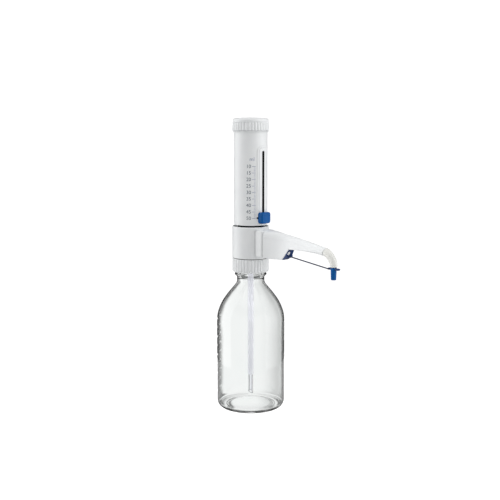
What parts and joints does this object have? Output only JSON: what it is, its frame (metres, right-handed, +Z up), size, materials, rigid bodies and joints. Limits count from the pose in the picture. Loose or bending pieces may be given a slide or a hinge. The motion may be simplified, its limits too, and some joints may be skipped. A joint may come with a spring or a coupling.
{
  "type": "bottle-top dispenser",
  "caption": "Bottle-top liquid dispenser with a lifted sleeve, volume slider and discharge arm, on a ribbed thread ring and a clear laboratory bottle.",
  "frame": {"origin": "middle of the bottle's base on the bench", "axes": "+Z up along the bottle's axis, +X along the discharge arm, +Y to the arm's left"},
  "size_m": [0.2195, 0.101, 0.4325],
  "materials": {
    "clear_glass": "clear borosilicate glass, polished",
    "white_plastic": "satin white moulded plastic",
    "natural_plastic": "off-white natural plastic",
    "ptfe": "white PTFE",
    "seal": "pale seal",
    "blue_plastic": "satin deep blue plastic",
    "black_plastic": "matt black plastic",
    "grey_plastic": "grey plastic",
    "translucent_tube": "milky translucent fluoropolymer",
    "ceramic": "polished white ceramic",
    "steel": "plain stainless steel",
    "dark_wire": "dark coated wire"
  },
  "bodies": {
    "bottle": {"bottle": "clear_glass"},
    "rim_seal": {"rim_gasket": "seal"},
    "thread_ring": {"thread_ring": "white_plastic"},
    "head": {"head_housing": "white_plastic", "vent_plug": "white_plastic", "valve_block": "natural_plastic", "inlet_valve_body": "natural_plastic", "inlet_seal": "seal", "outlet_valve_body": "natural_plastic", "outlet_spring": "steel", "filling_tube": "translucent_tube", "dispensing_cylinder": "clear_glass", "cylinder_seal": "seal", "cylinder_nut": "natural_plastic", "guide_sleeve": "black_plastic", "arm_cover": "white_plastic", "discharge_hose": "translucent_tube", "discharge_nozzle": "translucent_tube", "wire_bracket": "blue_plastic"},
    "plunger": {"outer_sleeve": "white_plastic", "piston": "ptfe", "piston_seal": "seal", "piston_rod": "grey_plastic"},
    "cap_nut": {"rod_nut": "steel"},
    "top_cap": {"top_cap": "white_plastic"},
    "volume_slider": {"slider_block": "blue_plastic", "clamp_shoe": "black_plastic", "volume_pointer": "black_plastic"},
    "tube_extension": {"filling_tube_extension": "translucent_tube"},
    "cap_wire": {"cap_wire": "dark_wire"},
    "tip_cap": {"tip_cap": "blue_plastic"},
    "inlet_ball": {"inlet_ball": "ceramic"},
    "outlet_ball": {"outlet_ball": "ceramic"}
  },
  "joints": [
    {"name": "head_lift", "type": "slide", "parent": "bottle", "child": "rim_seal", "axis": [0, 0, 1], "range_m": [0, 0.008]},
    {"name": "ring_unscrew", "type": "hinge", "parent": "rim_seal", "child": "thread_ring", "pos_m": [0, 0, 0.224], "axis": [0, 0, 1], "range_deg": [0, 720]},
    {"name": "head_turn", "type": "hinge", "parent": "rim_seal", "child": "head", "pos_m": [0, 0, 0.224], "axis": [0, 0, 1], "continuous": true},
    {"name": "plunger_stroke", "type": "slide", "parent": "head", "child": "plunger", "axis": [0, 0, 1], "range_m": [0, 0.095]},
    {"name": "cap_nut_rise", "type": "slide", "parent": "plunger", "child": "cap_nut", "axis": [0, 0, 1], "range_m": [0, 0.0045]},
    {"name": "cap_unscrew", "type": "hinge", "parent": "cap_nut", "child": "top_cap", "pos_m": [0, 0, 0.412], "axis": [0, 0, 1], "range_deg": [0, 540]},
    {"name": "volume_set", "type": "slide", "parent": "plunger", "child": "volume_slider", "axis": [0, 0, 1], "range_m": [0, 0.085]},
    {"name": "tube_slide", "type": "slide", "parent": "head", "child": "tube_extension", "axis": [0, 0, 1], "range_m": [-0.012, 0.07]},
    {"name": "wire_swing", "type": "hinge", "parent": "head", "child": "cap_wire", "pos_m": [0.0794, 0, 0.2366], "axis": [0, 1, 0], "range_deg": [0, 60]},
    {"name": "tip_cap_turn", "type": "hinge", "parent": "cap_wire", "child": "tip_cap", "pos_m": [0.151, 0, 0.2268], "axis": [0, 1, 0], "range_deg": [-60, 0]},
    {"name": "inlet_ball_lift", "type": "slide", "parent": "head", "child": "inlet_ball", "axis": [0, 0, 1], "range_m": [0, 0.0015]},
    {"name": "outlet_ball_lift", "type": "slide", "parent": "head", "child": "outlet_ball", "axis": [1, 0, 0], "range_m": [0, 0.0012], "stiffness_N_per_m": 20, "deforming": ["outlet_spring"]}
  ],
  "couplings": [
    {"joint": "ring_unscrew", "follows": "head_lift", "rad_per_m": 1570.8},
    {"joint": "cap_nut_rise", "follows": "cap_unscrew", "m_per_rad": 0.00047746},
    {"joint": "tip_cap_turn", "follows": "wire_swing", "ratio": -1}
  ]
}
